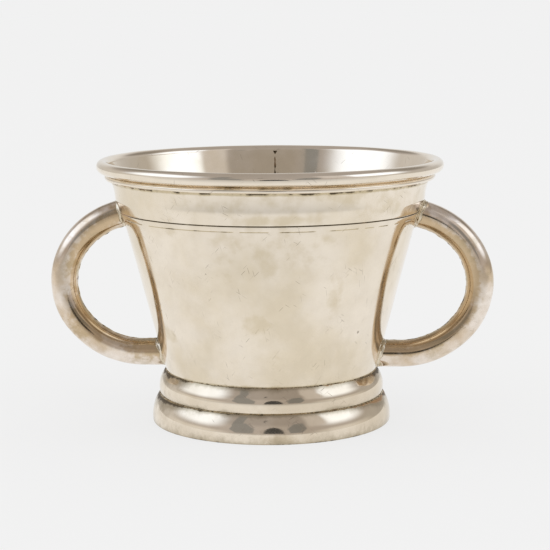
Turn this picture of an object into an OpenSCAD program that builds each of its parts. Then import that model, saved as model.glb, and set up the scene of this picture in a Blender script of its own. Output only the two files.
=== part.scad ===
// Two-handled silver cup: a flared bowl with a scribed collar, a wired rim,
// a hollow foot of two stacked bands and a pair of bent tube handles.
// The origin is the centre of the standing face, +Z is up and the handles lie along X.
// Outlines are drawn in a half plane: first the radius, then the height.

/* [Bowl] */
// Diameter over the rim wire
rim_d = 112; // [90:0.5:140]
// Height from the standing face to the top of the rim
cup_h = 85.6; // [72:0.1:120]
// Thickness of the bowl's sheet
sheet_t = 1.2; // [0.8:0.1:1.8]
// Height of the collar, from the shoulder crease to the top of the rim
collar_h = 12.5; // [9:0.1:15]
// Radius of the hollow curve of the collar's outside
cove_r = 13.9; // [13:0.1:30]
// Lean of the wall just under the shoulder crease, from upright
shoulder_lean = 22.9; // [18:0.1:32]
// Lean of the straight part of the wall, from upright
wall_lean = 14.7; // [6:0.1:17]
// Radius of the flare between the straight wall and the shoulder crease
flare_r = 96; // [60:1:110]
// Direction of the wall's upright seam, turned from +X
seam_azimuth = 92; // [60:1:120]
// Width of the solder in the wall's seam
seam_w = 0.4; // [0.2:0.05:0.8]
// Thickness of the bottom disc
bottom_t = 1.2; // [0.8:0.1:2]
// Width of the solder fillet round the bottom disc
bottom_solder_w = 0.8; // [0.4:0.1:1.5]

/* [Rim] */
// Diameter of the round wire along the lip
rim_wire_d = 4; // [3:0.1:5]
// How far the wire stands proud of the bowl's inside
rim_wire_proud = 0.1; // [0.05:0.05:0.3]
// Diameter of the small bead under the lip
rim_bead_d = 1.5; // [1:0.1:1.8]
// Distance from the centre of the rim wire down to the centre of the bead
rim_bead_drop = 3.45; // [3.3:0.05:5]
// Depth of the flat that seats the bead on the wall
rim_bead_seat = 0.2; // [0.1:0.05:0.4]
// Reach of the solder in the corners of the rim
rim_solder_w = 0.4; // [0.2:0.05:0.5]

/* [Scribed lines] */
// Distance from the shoulder crease down to the upper line
line_drop = 4; // [2.5:0.1:7]
// Distance between the upper and the lower line
line_gap = 1.8; // [1:0.1:4]
// Width of the upper line
upper_line_w = 0.5; // [0.2:0.05:0.8]
// Width of the lower line
lower_line_w = 0.36; // [0.2:0.02:0.8]

/* [Foot] */
// Height of the upper band
foot_upper_h = 8; // [5:0.1:11]
// Height of the lower band
foot_lower_h = 9; // [6:0.1:12]
// Radius of the upper band's bulge
foot_upper_r = 10; // [8:0.1:25]
// Radius of the lower band's bulge
foot_lower_r = 12.1; // [10:0.1:25]
// Height of the upper band's widest place above its lower edge
foot_upper_belly = 2.1; // [0.5:0.1:3]
// Height of the lower band's widest place above the standing face
foot_lower_belly = 1.9; // [0.5:0.1:3]
// Thickness of the bands
foot_t = 1.5; // [1:0.1:2]
// Width of the ledge where the upper band stands out past the wall
foot_upper_ledge = 0.26; // [0.15:0.01:0.8]
// Width of the ledge where the lower band stands out past the upper one
foot_lower_ledge = 0.32; // [0.15:0.01:0.8]
// Height of the solder on each ledge
foot_solder_h = 0.25; // [0.1:0.05:0.6]
// Ease of the outer edge of the standing face
foot_ease = 0.4; // [0.1:0.1:0.8]

/* [Handles] */
// Reach of each handle past the rim
handle_overhang = 16.4; // [12:0.1:26]
// Diameter of the handle tube
handle_tube_d = 8.8; // [6:0.1:10]
// Wall of the handle tube
handle_tube_t = 1; // [0.6:0.1:1.5]
// Radius of the tube's outermost bend, along its centre line
handle_belly_r = 21; // [16:0.1:26]
// Distance from the shoulder crease down to the top of the handle
handle_drop = 0.35; // [0:0.05:6]
// Clearance of the handle over the solder on the foot
handle_foot_gap = 0.05; // [0.05:0.05:6]
// Width of the solder in the tube's seam, along the inside of the loop
handle_seam_w = 0.6; // [0.3:0.1:1.2]
// Width of the solder fillet round each handle end
handle_solder_w = 1.4; // [1:0.1:2]
// Height of the solder fillet along the tube
handle_solder_h = 2; // [1.4:0.1:3]

/* [Hidden] */
$fn = 256;

silver = "#d6ccbb";
dull_silver = "#c2b59e";
solder = "#a98d5f";

// Rim and shoulder, worked out from the rim downwards
rim_r = rim_d / 2;
wire_r = rim_wire_d / 2;
wire_c = [rim_r - wire_r, cup_h - wire_r];
shoulder_z = cup_h - collar_h;
cove_rise = wire_c[1] - shoulder_z;
cove_mid_r = cove_r + sheet_t / 2;
cove_c = [wire_c[0] + sqrt(pow(cove_mid_r, 2) - pow(cove_rise, 2)), shoulder_z];
shoulder = [cove_c[0] - cove_r, shoulder_z];
bead_r = rim_bead_d / 2;
bead_orbit = cove_r - bead_r + rim_bead_seat;
bead_turn = asin((cove_rise - rim_bead_drop) / bead_orbit);
bead_c = cove_c + bead_orbit * toward(180 - bead_turn);

// Inside of the collar: an arc from the crease that runs out along the inner side of the rim wire
lip_reach = wire_c[0] - shoulder[0] + sheet_t;
lip_cover = wire_r - rim_wire_proud;
lip_r = (pow(lip_reach, 2) + pow(cove_rise, 2) - pow(lip_cover, 2)) / (2 * (lip_reach - lip_cover));
lip_c = [wire_c[0] - lip_reach + lip_r, shoulder_z];
lip_z = wire_c[1] + wire_r * cove_rise / (lip_r - lip_cover);

// Flare and straight wall, down to the top of the foot. The flare laps the straight wall by a hair,
// so that the two cross cleanly at their smooth join.
foot_h = foot_lower_h + foot_upper_h;
flare_c = shoulder + flare_r * toward(-shoulder_lean);
flare_foot = flare_c - flare_r * toward(-wall_lean);
wall_foot = [flare_foot[0] - (flare_foot[1] - foot_h) * tan(wall_lean), foot_h];
sheet_run = sheet_t / cos(wall_lean);
flare_lap = 0.004;
upper_line_z = shoulder_z - line_drop;
lower_line_z = upper_line_z - line_gap;
bottom_top = foot_h + bottom_t;

// Foot bands, each an arc whose centre lies inside the band
upper_top_r = wall_foot[0] + foot_upper_ledge;
upper_c = [
    upper_top_r - sqrt(pow(foot_upper_r, 2) - pow(foot_upper_h - foot_upper_belly, 2)),
    foot_lower_h + foot_upper_belly
];
upper_bottom_r = upper_band_r(foot_lower_h);
lower_top_r = upper_bottom_r + foot_lower_ledge;
lower_c = [
    lower_top_r - sqrt(pow(foot_lower_r, 2) - pow(foot_lower_h - foot_lower_belly, 2)),
    foot_lower_belly
];
lower_bottom_r = lower_c[0] + sqrt(pow(foot_lower_r, 2) - pow(foot_lower_belly, 2));

// Handle centre line: a belly bend, a wider bend each side of it, and a straight run into the wall.
// The bends meet on a 3-4-5 slope and a fine grid, so that neighbours share one exact face.
up = [0, 1];
meet_up = [0.8, 0.6];
meet_low = [0.8, -0.6];
grid = 0.02;
tube_r = handle_tube_d / 2;
handle_low_z = foot_h + foot_solder_h + handle_foot_gap + tube_r;
handle_span = shoulder_z - handle_drop - tube_r - handle_low_z;
handle_half_h = grid * round(handle_span / 2 / grid);
handle_top_z = handle_low_z + 2 * handle_half_h;
side_r = (handle_half_h - handle_belly_r * meet_up[1]) / (1 - meet_up[1]);
belly_c = [
    rim_r + handle_overhang - tube_r - handle_belly_r,
    handle_low_z + handle_half_h
];
side_step = side_r - handle_belly_r;
top_c = belly_c - side_step * meet_up;
low_c = belly_c - side_step * meet_low;
run_l = top_c[0] - wall_foot[0] / 2;
bend_reach = 10 * ceil((side_r + handle_belly_r) / 5);
top_is_run = top_c[0] > wall_r(handle_top_z);
top_joint = top_is_run
    ? [wall_r(handle_top_z), handle_top_z]
    : meet(flare_c, flare_r, top_c, side_r, -1);
top_joint_lean = asin((top_joint[1] - flare_c[1]) / flare_r);
low_joint = [wall_r(handle_low_z), handle_low_z];

// Unit vector at an angle
function toward(a) = [cos(a), sin(a)];

// Where two circles cross, on the chosen side of the line from the first centre to the second
function meet(c1, r1, c2, r2, side) =
    let (
        v = c2 - c1,
        d = norm(v),
        along = (r1 * r1 - r2 * r2 + d * d) / (2 * d),
        across = sqrt(r1 * r1 - along * along)
    )
    c1 + (v * along + side * across * [-v[1], v[0]]) / d;

// Outside radius of the straight wall, which runs on behind the flare
function straight_r(z) = wall_foot[0] + (z - foot_h) * tan(wall_lean);

// Inside radius of the straight wall
function inner_r(z) = straight_r(z) - sheet_run;

// Outside radius of the wall at a height under the shoulder crease
function wall_r(z) =
    z > flare_foot[1]
        ? flare_c[0] - sqrt(pow(flare_r + flare_lap, 2) - pow(z - flare_c[1], 2))
        : straight_r(z);

// Outside radius of the upper foot band
function upper_band_r(z) = upper_c[0] + sqrt(pow(foot_upper_r, 2) - pow(z - upper_c[1], 2));

// Direction from one point to another, as an angle
function bearing(from, to) = atan2(to[1] - from[1], to[0] - from[0]);

// Angle that a length takes up along a circle
function turn(l, r) = l / r * 180 / PI;

// Half section of all that lies deeper than a given depth under the wall's outside, up to a given height,
// with the hollow circle of the collar there
module bowl_section(depth, hollow_c, hollow_r, top) {
    run = depth / cos(wall_lean);
    polygon([
        [0, foot_h],
        [straight_r(foot_h) - run, foot_h],
        [straight_r(shoulder_z) - run, shoulder_z],
        [0, shoulder_z]
    ]);
    difference() {
        translate([0, flare_foot[1]]) square([wire_c[0], top - flare_foot[1]]);
        translate(hollow_c) circle(hollow_r);
        intersection() {
            translate(flare_c) circle(flare_r + depth + flare_lap);
            square([rim_r, shoulder_z + sheet_t]);
        }
    }
}

// Half section of the bowl with all its inside, up to where the sheet ends on the rim wire
module full_section() {
    bowl_section(0, cove_c, cove_r, lip_z);
}

// Outline of the bowl's sheet, with the scribed lines and the seat of the rim wire
module wall_outline() {
    difference() {
        full_section();
        bowl_section(sheet_t, lip_c, lip_r, cup_h);
        translate(wire_c) circle(wire_r);
        scribed_line(upper_line_z, upper_line_w);
        scribed_line(lower_line_z, lower_line_w);
    }
}

// V-shaped cut in the wall's outside
module scribed_line(z, w) {
    translate([wall_r(z), z]) rotate(45) square(w / sqrt(2), center = true);
}

// Everything inside the bowl's outside surface, up to the rim wire
module bowl_space() {
    rotate_extrude() full_section();
}

// Upright slot for the wall's seam
module seam_slot() {
    rotate([0, 0, seam_azimuth])
        translate([0, -seam_w / 2, 0])
            cube([rim_r, seam_w, cup_h]);
}

module bowl_wall() {
    color(silver)
        difference() {
            rotate_extrude() wall_outline();
            seam_slot();
        }
}

module wall_seam() {
    color(solder)
        intersection() {
            rotate_extrude() wall_outline();
            seam_slot();
        }
}

module bowl_bottom() {
    color(dull_silver)
        rotate_extrude()
            polygon([
                [0, foot_h],
                [inner_r(foot_h), foot_h],
                [inner_r(bottom_top), bottom_top],
                [0, bottom_top]
            ]);
}

module bottom_solder() {
    fillet_top = bottom_top + bottom_solder_w;
    color(solder)
        rotate_extrude()
            polygon([
                [inner_r(bottom_top) - bottom_solder_w, bottom_top],
                [inner_r(bottom_top), bottom_top],
                [inner_r(fillet_top), fillet_top]
            ]);
}

// Lower corner between the collar and a round moulding
function rim_corner(c, r) = meet(cove_c, cove_r, c, r, 1);

// Where the solder in that corner ends on the moulding
function solder_edge(c, r) = c + r * toward(bearing(c, rim_corner(c, r)) + turn(rim_solder_w, r));

// Round moulding of the rim, with the narrow flat that its solder lies on
module rim_moulding(c, r) {
    corner = rim_corner(c, r);
    difference() {
        translate(c) circle(r);
        translate(corner)
            rotate(bearing(corner, solder_edge(c, r)))
                translate([-r, -r])
                    square([2 * (r + rim_solder_w), r]);
    }
}

// Solder in the lower corner between the collar and a round moulding
module rim_corner_solder(c, r) {
    corner = rim_corner(c, r);
    on_collar = bearing(cove_c, corner) + turn(rim_solder_w, cove_r);
    rotate_extrude()
        polygon([corner, cove_c + cove_r * toward(on_collar), solder_edge(c, r)]);
}

module rim_wire() {
    color(silver)
        rotate_extrude() rim_moulding(wire_c, wire_r);
}

module rim_bead() {
    color(dull_silver)
        rotate_extrude()
            intersection() {
                rim_moulding(bead_c, bead_r);
                translate(cove_c) circle(cove_r);
            }
}

module rim_wire_solder() {
    color(solder) rim_corner_solder(wire_c, wire_r);
}

module rim_bead_solder() {
    color(solder) rim_corner_solder(bead_c, bead_r);
}

// Outline of a bulging foot band between two heights
module band_outline(c, r, z, h) {
    intersection() {
        translate(c)
            difference() {
                circle(r);
                circle(r - foot_t);
            }
        translate([c[0], z]) square([2 * r, h]);
    }
}

module foot_upper_band() {
    color(silver)
        rotate_extrude()
            band_outline(upper_c, foot_upper_r, foot_lower_h, foot_upper_h);
}

module foot_lower_band() {
    color(silver)
        rotate_extrude()
            difference() {
                band_outline(lower_c, foot_lower_r, 0, foot_lower_h);
                translate([lower_bottom_r, 0])
                    rotate(45)
                        square(foot_ease * sqrt(2), center = true);
            }
}

module foot_upper_solder() {
    solder_top = foot_h + foot_solder_h;
    color(solder)
        rotate_extrude()
            polygon([wall_foot, [upper_top_r, foot_h], [wall_r(solder_top), solder_top]]);
}

module foot_lower_solder() {
    solder_top = foot_lower_h + foot_solder_h;
    color(solder)
        rotate_extrude()
            polygon([
                [upper_bottom_r, foot_lower_h],
                [lower_top_r, foot_lower_h],
                [upper_band_r(solder_top), solder_top]
            ]);
}

// One bend of the right handle, between two directions from its centre
module handle_bend(c, r, from, to) {
    rotate([90, 0, 0])
        intersection() {
            translate([c[0], c[1], 0])
                rotate_extrude()
                    translate([r, 0]) children();
            linear_extrude(2 * handle_tube_d, center = true)
                polygon([c, c + bend_reach * from, c + bend_reach * (from + to), c + bend_reach * to]);
        }
}

// Carries an outline along the right handle's centre line, from inside the bowl and back to it
module along_handle() {
    translate([top_c[0], 0, handle_top_z])
        rotate([0, -90, 0])
            linear_extrude(run_l) children();
    handle_bend(top_c, side_r, meet_up, up) children();
    handle_bend(belly_c, handle_belly_r, meet_low, meet_up) children();
    handle_bend(low_c, side_r, -up, meet_low) children();
    translate([low_c[0], 0, handle_low_z])
        rotate([0, -90, 0])
            linear_extrude(run_l) mirror([1, 0]) children();
}

// Slot for the tube's seam, on the inside of the loop
module handle_slot() {
    translate([-handle_tube_d, -handle_seam_w / 2]) square([handle_tube_d, handle_seam_w]);
}

// Outline of the handle's tube wall
module tube_ring() {
    difference() {
        circle(tube_r);
        circle(tube_r - handle_tube_t);
    }
}

module handle_tube() {
    color(silver)
        difference() {
            along_handle()
                difference() {
                    tube_ring();
                    handle_slot();
                }
            bowl_space();
        }
}

module handle_seam() {
    color(solder)
        difference() {
            along_handle()
                intersection() {
                    tube_ring();
                    handle_slot();
                }
            bowl_space();
        }
}

// Straight rod as thick as the tube, along a run of the right handle and a hair past its end
module run_rod(c, z) {
    translate([0, 0, z])
        rotate([0, 90, 0])
            cylinder(h = c[0] + grid, r = tube_r);
}

// Ring as thick as the tube, along a side bend of the right handle from a hair before its start
module bend_ring(c) {
    intersection() {
        rotate([90, 0, 0])
            translate([c[0], c[1], 0])
                rotate_extrude()
                    translate([side_r, 0]) circle(tube_r);
        translate([c[0] - grid, -handle_tube_d, 0])
            cube([rim_r + handle_overhang, 2 * handle_tube_d, cup_h]);
    }
}

// Solder fillet where the right handle meets the wall: a cone square to the wall there, from as far
// inside the wall to its tip inside the tube. It is cut by the side bend with the given centre and
// by the run at the joint's end of it.
module handle_solder(joint, lean, bend_c, run_z) {
    color(solder)
        difference() {
            translate([joint[0], 0, joint[1]])
                rotate([0, 90 + lean, 0])
                    translate([0, 0, -handle_solder_h])
                        cylinder(
                            h = 3 * handle_solder_h,
                            r1 = tube_r + 2 * handle_solder_w,
                            r2 = tube_r - handle_solder_w
                        );
            run_rod(bend_c, run_z);
            bend_ring(bend_c);
            bowl_space();
            cylinder(h = foot_h + foot_solder_h, r = rim_r);
        }
}

module right_handle() handle_tube();
module right_handle_seam() handle_seam();
module right_upper_solder() handle_solder(top_joint, top_joint_lean, top_c, handle_top_z);
module right_lower_solder() handle_solder(low_joint, wall_lean, low_c, handle_low_z);

module left_handle() mirror([1, 0, 0]) handle_tube();
module left_handle_seam() mirror([1, 0, 0]) handle_seam();
module left_upper_solder() mirror([1, 0, 0]) right_upper_solder();
module left_lower_solder() mirror([1, 0, 0]) right_lower_solder();

bowl_wall();
wall_seam();
bowl_bottom();
bottom_solder();
rim_wire();
rim_bead();
rim_wire_solder();
rim_bead_solder();
foot_upper_band();
foot_lower_band();
foot_upper_solder();
foot_lower_solder();
right_handle();
right_handle_seam();
right_upper_solder();
right_lower_solder();
left_handle();
left_handle_seam();
left_upper_solder();
left_lower_solder();
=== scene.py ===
from math import asin, atan2, cos, log, pi, radians, sin, sqrt, tan

import bmesh
import bpy
import numpy as np
from mathutils import Matrix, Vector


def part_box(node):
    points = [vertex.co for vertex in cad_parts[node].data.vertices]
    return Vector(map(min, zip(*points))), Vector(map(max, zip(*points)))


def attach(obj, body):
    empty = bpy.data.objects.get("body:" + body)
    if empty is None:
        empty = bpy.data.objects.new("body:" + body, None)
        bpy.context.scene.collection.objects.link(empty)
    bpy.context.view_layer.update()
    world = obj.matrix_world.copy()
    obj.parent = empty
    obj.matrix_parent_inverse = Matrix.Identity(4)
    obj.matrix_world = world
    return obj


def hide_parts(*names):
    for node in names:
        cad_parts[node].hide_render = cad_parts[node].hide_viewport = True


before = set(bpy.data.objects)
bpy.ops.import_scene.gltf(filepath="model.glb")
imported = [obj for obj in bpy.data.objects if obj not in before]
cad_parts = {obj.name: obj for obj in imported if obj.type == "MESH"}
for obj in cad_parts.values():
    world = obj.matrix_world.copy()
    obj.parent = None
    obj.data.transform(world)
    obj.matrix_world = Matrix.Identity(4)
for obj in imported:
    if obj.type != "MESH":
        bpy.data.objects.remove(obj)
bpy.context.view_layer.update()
print("frame loaded:", len(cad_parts), "solids")

mm = 0.001  # shapes are worked out in millimetres and placed in metres
draw = np.random.default_rng(1690)
fullTurn = 2 * pi


# sizes read from the frame

def nodeBox(node):
    low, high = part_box(node)
    return np.round(np.array(low) / mm, 1), np.round(np.array(high) / mm, 1)


wireLow, wireHigh = nodeBox("rim_wire")
handleLow, handleHigh = nodeBox("right_handle")
grooveZ = nodeBox("foot_lower_band")[1][2]
footH = nodeBox("foot_upper_band")[1][2]
rimR = wireHigh[0]
cupH = wireHigh[2]
wireR = (wireHigh[2] - wireLow[2]) / 2
tubeR = handleHigh[1]
reachX = handleHigh[0]


# small sums used by many pieces

def ramp(start, end, x):
    t = np.clip((x - start) / (end - start), 0, 1)
    return t * t * (3 - 2 * t)


def fallOff(start, end, x):
    return 1 - ramp(start, end, x)


def softMin(a, b, blend):
    return np.minimum(a, b) - blend * np.log1p(np.exp(-np.abs(a - b) / blend))


def toward(angle):
    return np.array([cos(angle), sin(angle)])


def turnFrom(angle, start):
    return np.angle(np.exp(1j * (angle - start)))


def degreesFrom(angle, turn):
    return np.abs(np.degrees(turnFrom(angle, radians(turn))))


def wholeTurn(count):
    return np.linspace(0, fullTurn, count, endpoint=False)


def arcPoints(centre, radius, start, end, count):
    angles = np.linspace(start, end, count)
    return np.stack([centre[0] + radius * np.cos(angles), centre[1] + radius * np.sin(angles)], 1)


def ripple(count, shortest, longest, radius):
    # random soft waves over an unrolled surface, whole turns round it
    waves = []
    for _ in range(count):
        length = draw.uniform(shortest, longest)
        lean = draw.uniform(0, pi)
        turns = round(fullTurn * radius / length * cos(lean))
        waves.append((turns, fullTurn / length * sin(lean), draw.uniform(0, fullTurn)))
    scale = sqrt(2 / count)

    def height(angle, along):
        return scale * sum(np.cos(t * angle + k * along + phase) for t, k, phase in waves)

    return height


# mesh making

def addObject(name, data):
    made = bpy.data.objects.new(name, data)
    bpy.context.scene.collection.objects.link(made)
    return made


def gridPiece(name, points, closedAround=True, closedAcross=True, capped=False,
              grime=0.0, veil=0.0, sharp=None):
    around, across = points.shape[:2]
    i = np.arange(around if closedAround else around - 1)[:, None]
    j = np.arange(across if closedAcross else across - 1)[None, :]
    corners = [(i, j), (i + 1, j), (i + 1, j + 1), (i, j + 1)]
    faces = np.stack([(a % around) * across + b % across for a, b in corners], -1).reshape(-1, 4)
    place = points.reshape(-1, 3) * mm
    loop = points if not closedAround else np.concatenate([points, points[:1]])
    girth = np.linalg.norm(np.diff(loop, axis=0), axis=2).max(1).cumsum()
    u = np.concatenate([[0], girth, girth[-1:]]) * mm
    rail = np.concatenate([points[0], points[0][:1]])
    v = np.concatenate([[0], np.linalg.norm(np.diff(rail, axis=0), axis=1).cumsum()]) * mm
    unrolled = np.stack([np.stack(np.broadcast_arrays(u[a], v[b]), -1) for a, b in corners], -2)
    unrolled = unrolled.reshape(-1, 4, 2)
    p, q, r, s = (place[faces[:, k]] for k in range(4))
    inside = np.einsum("ij,ij->i", p, np.cross(q, r) + np.cross(r, s)).sum()
    turned = inside < 0
    if turned:
        faces = faces[:, ::-1]
        unrolled = unrolled[:, ::-1]
    rows = faces.tolist()
    if capped:
        first = list(range(across))
        last = [(around - 1) * across + k for k in range(across)]
        rows += [first if turned else first[::-1], last[::-1] if turned else last]
    mesh = bpy.data.meshes.new(name)
    mesh.from_pydata(place.tolist(), [], rows)
    layer = mesh.uv_layers.new(name="unrolled")
    flat = np.zeros((len(mesh.loops), 2))
    flat[: unrolled.size // 2] = unrolled.reshape(-1, 2)
    layer.uv.foreach_set("vector", flat.astype(np.float32).ravel())
    # grime is dirt; veil is stains, and in places painted shade
    for label, amount in (("grime", grime), ("veil", veil)):
        stain = mesh.attributes.new(label, "FLOAT", "POINT")
        spread = np.broadcast_to(np.clip(amount, 0, 1), points.shape[:2])
        stain.data.foreach_set("value", spread.astype(np.float32).ravel())
    mesh.polygons.foreach_set("use_smooth", np.ones(len(mesh.polygons), bool))
    if sharp:
        mesh.set_sharp_from_angle(angle=radians(sharp))
    mesh.update()
    return addObject(name, mesh)


def latheGrid(section, around):
    # turns a half section about the cup's axis
    angle = wholeTurn(around)[:, None]
    radius = np.broadcast_to(section[None, :, 0], (around, len(section)))
    height = np.broadcast_to(section[None, :, 1], (around, len(section)))
    return angle, radius.copy(), height.copy()


def fromLathe(angle, radius, height):
    return np.stack([radius * np.cos(angle), radius * np.sin(angle), height], -1)


def dress(piece, node, material):
    piece.data.materials.append(material)
    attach(piece, "root")
    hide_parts(node)


# shader helpers: all but the first add to the tree that their inputs belong to

def addNode(tree, kind, values=None, **settings):
    made = tree.nodes.new("ShaderNode" + kind)
    for key, value in settings.items():
        setattr(made, key, value)
    for key, value in (values or {}).items():
        socket = made.inputs[key]
        if isinstance(value, bpy.types.NodeSocket):
            tree.links.new(value, socket)
        else:
            socket.default_value = (*value, 1) if socket.type == "RGBA" and len(value) == 3 else value
    return made


def calc(operation, *terms):
    tree = next(term.id_data for term in terms if isinstance(term, bpy.types.NodeSocket))
    return addNode(tree, "Math", dict(enumerate(terms)), operation=operation).outputs[0]


def times(a, b):
    return calc("MULTIPLY", a, b)


def timesPlus(a, b, c):
    return calc("MULTIPLY_ADD", a, b, c)


def swing(value, amount):
    # makes a cloud's 0 to 1 swing about 0
    return timesPlus(value, amount, -amount / 2)


def span(value, low, high, toLow=0.0, toHigh=1.0):
    limits = {"Value": value, "From Min": low, "From Max": high, "To Min": toLow, "To Max": toHigh}
    return addNode(value.id_data, "MapRange", limits, interpolation_type="SMOOTHSTEP").outputs[0]


def mixColour(share, first, second):
    return addNode(share.id_data, "Mix", {0: share, 6: first, 7: second}, data_type="RGBA").outputs[2]


def cloud(vector, scale, detail=3.0, rough=0.55):
    values = {"Vector": vector, "Scale": scale, "Detail": detail, "Roughness": rough}
    return addNode(vector.id_data, "TexNoise", values).outputs[0]


def newGroup(name, inputs, outputs):
    tree = bpy.data.node_groups.new(name, "ShaderNodeTree")
    for way, sockets in (("INPUT", inputs), ("OUTPUT", outputs)):
        for kind, labels in sockets.items():
            for label in labels.split():
                tree.interface.new_socket(name=label, in_out=way, socket_type="NodeSocket" + kind)
    return tree, tree.nodes.new("NodeGroupInput").outputs, tree.nodes.new("NodeGroupOutput").inputs


# pairs say where an effect starts and where it is full
tarnishSteps = dict(
    lumps=5.3, specks=23.0,  # scales of the finer clouds, in times that of the patches
    lumpSwing=1.5, speckSwing=0.8, edgeSwing=1.2,
    blotch=(0.36, 0.66), edge=(0.1, 0.75), mottle=(0.32, 0.68), copper=(0.55, 0.63),
    film=(0.06, 0.5), filmMost=0.8, filmSwing=0.35, filmStart=(0.01, 0.12),
    dirt=(0.8, 1.3), dirtGain=1.5,
)


def tarnishVeil():
    # warm blotches over the silver, an olive film where it is handled less, brown dirt in the corners
    tree, given, out = newGroup(
        "tarnishVeil",
        {"Vector": "Vector", "Float": "Grime Stain Patches Veil Mottle",
         "Color": "Silver Warm Olive Brown Copper"},
        {"Color": "Color", "Float": "Film Dirt"},
    )
    steps = tarnishSteps
    spot, patches, grime = given["Vector"], given["Patches"], given["Grime"]
    broad = cloud(spot, patches, 5)
    lumps = cloud(spot, times(patches, steps["lumps"]), 4)
    specks = cloud(spot, times(patches, steps["specks"]), 2)
    blotch = times(span(broad, *steps["blotch"]), given["Veil"])
    # the Stain input warms the silver where there are stains, and also where shade is painted
    edged = span(calc("ADD", given["Stain"], swing(lumps, steps["edgeSwing"])), *steps["edge"])
    body = mixColour(calc("MAXIMUM", blotch, edged), given["Silver"], given["Warm"])
    dim = times(span(lumps, *steps["mottle"]), given["Mottle"])
    body = mixColour(dim, body, given["Brown"])
    uneven = calc("ADD", swing(lumps, steps["lumpSwing"]), swing(specks, steps["speckSwing"]))
    film = span(timesPlus(uneven, steps["filmSwing"], grime), *steps["film"], 0.0, steps["filmMost"])
    film = times(film, span(grime, *steps["filmStart"]))
    dirt = span(timesPlus(grime, steps["dirtGain"], uneven), *steps["dirt"])
    stain = mixColour(span(broad, *steps["copper"]), given["Brown"], given["Copper"])
    toned = mixColour(film, body, given["Olive"])
    tree.links.new(mixColour(dirt, toned, stain), out["Color"])
    tree.links.new(film, out["Film"])
    tree.links.new(dirt, out["Dirt"])
    return tree


lineSteps = dict(
    bunchScale=95.0, bunch=(0.52, 0.62), swayScale=90.0,
    turns=(0.0, 1.1, 2.3),  # directions, radians
    slide=9.0, inLane=(0.6, 0.2), force=(0.7, 0.3), ends=(0.0, 0.2),
)


def polishLines():
    # short straight scratches in three directions over the unrolled surface, each in a cell of its own
    tree, given, out = newGroup(
        "polishLines",
        {"Vector": "Vector", "Float": "Length Spacing Width Share Turn Bunched"},
        {"Float": "Height Mask"},
    )
    spot = given["Vector"]
    bunches = span(cloud(spot, lineSteps["bunchScale"], 2), *lineSteps["bunch"])
    worn = calc("SUBTRACT", 1.0, times(calc("SUBTRACT", 1.0, bunches), given["Bunched"]))
    sway = times(cloud(spot, lineSteps["swayScale"], 1), mm)
    total = None
    for way, step in enumerate(lineSteps["turns"]):
        turned = {"Vector": spot, "Angle": calc("ADD", given["Turn"], step)}
        laid = addNode(tree, "VectorRotate", turned, rotation_type="Z_AXIS")
        x, y, _ = addNode(tree, "SeparateXYZ", {0: laid.outputs[0]}).outputs
        lane = calc("DIVIDE", calc("ADD", y, sway), given["Spacing"])
        row = calc("FLOOR", lane)
        slide = addNode(tree, "TexWhiteNoise", {"W": row}, noise_dimensions="1D").outputs["Value"]
        run = timesPlus(slide, lineSteps["slide"], calc("DIVIDE", x, given["Length"]))
        cell = addNode(tree, "CombineXYZ", {0: calc("FLOOR", run), 1: row, 2: float(way)})
        luck = addNode(tree, "TexWhiteNoise", {"Vector": cell.outputs[0]}, noise_dimensions="3D")
        chance, middle, force = addNode(tree, "SeparateColor", {0: luck.outputs["Color"]}).outputs
        off = calc("SUBTRACT", calc("FRACT", lane), timesPlus(middle, *lineSteps["inLane"]))
        line = span(calc("DIVIDE", calc("ABSOLUTE", off), given["Width"]), 0.0, 1.0, 1.0, 0.0)
        along = calc("FRACT", run)
        ends = span(times(along, calc("SUBTRACT", 1.0, along)), *lineSteps["ends"])
        kept = times(calc("LESS_THAN", chance, given["Share"]), timesPlus(force, *lineSteps["force"]))
        line = times(times(line, ends), times(kept, worn))
        total = line if total is None else calc("MAXIMUM", total, line)
    tree.links.new(times(total, -1.0), out["Height"])
    tree.links.new(total, out["Mask"])
    return tree


pitSteps = dict(raggedScale=1400.0, ragged=0.6, size=(0.13, 0.03), edge=(0.35, 1.0))


def pitMarks():
    # scattered small pits and knocks
    tree, given, out = newGroup(
        "pitMarks", {"Vector": "Vector", "Float": "Closeness Share"}, {"Float": "Height Mask"})
    spot = given["Vector"]
    noise = {"Vector": spot, "Scale": pitSteps["raggedScale"], "Detail": 2.0}
    ragged = addNode(tree, "TexNoise", noise).outputs["Color"]
    reach = (pitSteps["ragged"] * mm,) * 3
    shift = addNode(tree, "VectorMath", {0: ragged, 1: reach}, operation="MULTIPLY")
    moved = addNode(tree, "VectorMath", {0: spot, 1: shift.outputs[0]}, operation="ADD")
    cells = addNode(tree, "TexVoronoi", {"Vector": moved.outputs[0], "Scale": given["Closeness"]})
    chance = addNode(tree, "SeparateColor", {0: cells.outputs["Color"]}).outputs
    size = timesPlus(chance[1], *pitSteps["size"])
    near = span(calc("DIVIDE", cells.outputs["Distance"], size), *pitSteps["edge"], 1.0, 0.0)
    mask = times(near, calc("LESS_THAN", chance[0], given["Share"]))
    tree.links.new(times(mask, -1.0), out["Height"])
    tree.links.new(mask, out["Mask"])
    return tree


groups = {"tarnish": tarnishVeil(), "polish": polishLines(), "pits": pitMarks()}
tones = ("silver", "warm", "olive", "brown", "copper", "patches", "veil", "mottle")


def newMaterial(name):
    material = bpy.data.materials.new(name)
    material.use_nodes = True
    return material, material.node_tree, material.node_tree.nodes["Material Output"].inputs["Surface"]


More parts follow.
